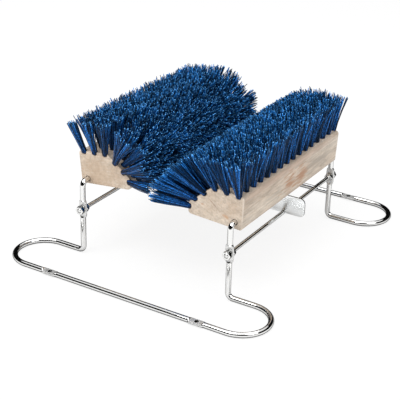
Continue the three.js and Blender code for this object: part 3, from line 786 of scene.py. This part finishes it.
def blue_bristle():
    """Stiff blue filament: painted darker towards the root as shade deep in the tuft, with a painted
    highlight on the cut tip, each strand a shade of its own at random, and mottled with painted glints in
    small specks."""
    material, tree, shader = new_finish("blue_bristle", Specular_IOR_Level=0.3,
                                        Specular_Tint=(0.45, 0.75, 1, 1))
    strand_map = add_node(tree, "ShaderNodeUVMap", {"uv_map": "strand"})
    strand = add_node(tree, "ShaderNodeSeparateXYZ", Vector=strand_map.outputs[0])
    # painted shade and highlight: the ramp darkens each strand towards its root for the shade deep in the
    # tuft, and its pale end is a painted highlight on the cut tip
    clear = add_node(tree, "ShaderNodeValToRGB", Fac=strand.outputs["X"])
    clear.color_ramp.elements[0].color = (0.002, 0.018, 0.076, 1)
    clear.color_ramp.elements[1].color = (0.055, 0.19, 0.4, 1)
    for share, blue in ((0.5, (0.008, 0.062, 0.205, 1)), (0.9, (0.007, 0.064, 0.208, 1)),
                        (0.975, (0.006, 0.074, 0.235, 1))):
        clear.color_ramp.elements.new(share).color = blue
    shade = add_node(tree, "ShaderNodeMapRange", Value=strand.outputs["Y"], To_Min=0.15, To_Max=2.9)
    place = add_node(tree, "ShaderNodeTexCoord").outputs["Object"]
    # painted glints and shade: noise a couple of millimetres across makes each strand lighter and darker in
    # specks, standing in for light caught by kinks
    glint_noise = add_node(tree, "ShaderNodeTexNoise", Vector=place, Scale=620.0, Detail=1.0)
    painted_glints = add_node(tree, "ShaderNodeMapRange", Value=glint_noise.outputs["Fac"], From_Min=0.38, From_Max=0.62,
                      To_Min=0.4, To_Max=1.75)
    light = add_node(tree, "ShaderNodeMath", {"operation": "MULTIPLY"}, n0=shade.outputs["Result"],
                     n1=painted_glints.outputs["Result"])
    toned = add_node(tree, "ShaderNodeVectorMath", {"operation": "SCALE"}, n0=clear.outputs["Color"],
                     Scale=light.outputs[0])
    tree.links.new(toned.outputs[0], shader.inputs["Base Color"])
    grain = add_node(tree, "ShaderNodeTexNoise", Vector=place, Scale=1400.0)
    rough = add_node(tree, "ShaderNodeMapRange", Value=grain.outputs["Fac"], To_Min=0.25, To_Max=0.45)
    tree.links.new(rough.outputs["Result"], shader.inputs["Roughness"])
    return material


filament = blue_bristle()
for number, (side, past_fold) in enumerate((("left", 0), ("left", 1), ("right", 0), ("right", 1))):
    name = f"{side}_{'front' if past_fold else 'top'}_tufts"
    bundle = put_in_scene(name, tufts(name, side, past_fold, seed=31 + number), filament, sharp_above=75)
    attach(bundle, f"{side}_brush")
    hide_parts(f"{side}_bristles")


# Studio
# The stand on a plain pale floor under soft light, seen from the front right and above. The floor keeps a
# faint shadow, and bright metal mirrors it with painted contact shade, darker where something stands close
# over it.

floor_height = -0.0001
floor_corners = [(x, y, floor_height) for x, y in ((-6, -6), (6, -6), (6, 6), (-6, 6))]
floor_mesh = bpy.data.meshes.new("floor")
floor_mesh.from_pydata(floor_corners, [], [(0, 1, 2, 3)])
floor = bpy.data.objects.new("floor", floor_mesh)
bpy.context.scene.collection.objects.link(floor)


def seen_direct(tree, ray):
    """1 for what the camera sees straight, in a mirror or through glass, and 0 for what lights a surface."""
    either = add_node(tree, "ShaderNodeMath", {"operation": "MAXIMUM"}, n0=ray.outputs["Is Camera Ray"],
                      n1=ray.outputs["Is Glossy Ray"])
    return add_node(tree, "ShaderNodeMath", {"operation": "MAXIMUM"}, n0=either.outputs[0],
                    n1=ray.outputs["Is Transmission Ray"]).outputs[0]


pale = bpy.data.materials.new("pale_floor")
pale.use_nodes = True
tree = pale.node_tree
tree.nodes.clear()
ray = add_node(tree, "ShaderNodeLightPath")
lit = add_node(tree, "ShaderNodeBsdfDiffuse", Color=(0.86, 0.86, 0.86, 1))
white = add_node(tree, "ShaderNodeEmission", Strength=1.0)
shadowed = add_node(tree, "ShaderNodeMixShader", Fac=0.86, n1=lit.outputs[0], n2=white.outputs[0])
# painted contact shade: the floor as bright metal mirrors it is darkened by ambient occlusion where something
# stands close over it
near = add_node(tree, "ShaderNodeAmbientOcclusion", {"samples": 12}, Distance=0.03)
painted_contact_shade = add_node(tree, "ShaderNodeMapRange", Value=near.outputs["AO"], From_Min=0.4, From_Max=0.95,
                   To_Min=0.02, To_Max=0.72)
mirrored = add_node(tree, "ShaderNodeBsdfDiffuse", Color=painted_contact_shade.outputs["Result"])
choice = add_node(tree, "ShaderNodeMixShader", Fac=seen_direct(tree, ray), n1=lit.outputs[0],
                  n2=mirrored.outputs[0])
choice = add_node(tree, "ShaderNodeMixShader", Fac=ray.outputs["Is Camera Ray"], n1=choice.outputs[0],
                  n2=shadowed.outputs[0])
add_node(tree, "ShaderNodeOutputMaterial", Surface=choice.outputs[0])
floor.data.materials.append(pale)

# Dark cards round the stage, which only bright metal mirrors: low all round, and higher behind it on the
# left. Their edges are given in degrees above level, over the bearing from the far side of the stage.
bearing = np.linspace(0, 2 * math.pi, 49)
reach, far_side = 3.0, 1.0425
card_low = reach * np.tan(np.radians(3 * np.maximum(0, np.cos(bearing))))
card_high = reach * np.tan(np.radians(47 + 6 * np.cos(bearing) + 14 * np.exp(-((bearing - 3.6) / 0.4) ** 2)))
ring = reach * np.stack([np.cos(bearing - far_side), np.sin(bearing - far_side)], -1)
card_points = np.stack([np.insert(ring, 2, card_low, axis=1), np.insert(ring, 2, card_high, axis=1)], 1)
corner = np.arange(len(bearing) * 2).reshape(-1, 2)
card_faces = np.stack([corner[:-1, 0], corner[1:, 0], corner[1:, 1], corner[:-1, 1]], -1)
card_mesh = bpy.data.meshes.new("dark_cards")
card_mesh.from_pydata(card_points.reshape(-1, 3), [], card_faces.tolist())
cards = bpy.data.objects.new("dark_cards", card_mesh)
bpy.context.scene.collection.objects.link(cards)
card_paper = new_finish("card_paper", Base_Color=(0.006, 0.006, 0.006, 1), Specular_IOR_Level=0.0)[0]
card_mesh.materials.append(card_paper)
cards.visible_camera = cards.visible_diffuse = cards.visible_shadow = False

world = bpy.data.worlds.new("studio")
bpy.context.scene.world = world
world.use_nodes = True
tree = world.node_tree
tree.nodes.clear()
ray = add_node(tree, "ShaderNodeLightPath")
ambient = add_node(tree, "ShaderNodeBackground", Color=(1, 1, 1, 1), Strength=0.5)
backdrop = add_node(tree, "ShaderNodeBackground", Color=(1, 1, 1, 1), Strength=1.0)
choice = add_node(tree, "ShaderNodeMixShader", Fac=seen_direct(tree, ray), n1=ambient.outputs[0],
                  n2=backdrop.outputs[0])
add_node(tree, "ShaderNodeOutputWorld", Surface=choice.outputs[0])


def standing(right, up, back, at):
    """Matrix of a lamp or a camera that stands at a place, from the directions of its own axes."""
    return Matrix(np.vstack([np.column_stack([right, up, back, at]), (0, 0, 0, 1)]))


lit_point = (0, 0, 0.1)


def softbox(name, at, size, watts):
    """A square lamp at a place, its back turned away from the lit point. Bright metal mirrors all of them but
    the front one."""
    lamp = bpy.data.lights.new(name, "AREA")
    lamp.size, lamp.energy = size, watts
    holder = bpy.data.objects.new(name, lamp)
    bpy.context.scene.collection.objects.link(holder)
    back = np.subtract(at, lit_point) / np.linalg.norm(np.subtract(at, lit_point))
    right = np.cross((0, 0, 1), back)
    right /= np.linalg.norm(right)
    holder.matrix_world = standing(right, np.cross(back, right), back, at)
    holder.visible_glossy = name != "front_softbox"


softbox("key_softbox", (-0.35, -1.15, 2.4), 1.4, 40)
softbox("front_softbox", (-1.2, -2.2, 0.7), 1.4, 21)
softbox("side_softbox", (1.9, -0.6, 1.6), 1.4, 16)
softbox("top_softbox", (0.2, 0.3, 2.6), 2.0, 30)

sight = np.array([-0.46373, 0.77636, -0.42687])
upward = np.array([-0.24279, 0.35201, 0.90396])
viewpoint = (0.6901, -1.1833, 0.6965)
focal_length = 1151.27 / 400             # as a share of the picture's width
camera_data = bpy.data.cameras.new("camera")
camera_data.sensor_width, camera_data.lens = 36, 36 * focal_length
camera = bpy.data.objects.new("camera", camera_data)
bpy.context.scene.collection.objects.link(camera)
camera.matrix_world = standing(np.cross(sight, upward), upward, -sight, viewpoint)
bpy.context.scene.camera = camera
bpy.context.scene.view_settings.view_transform = "Standard"
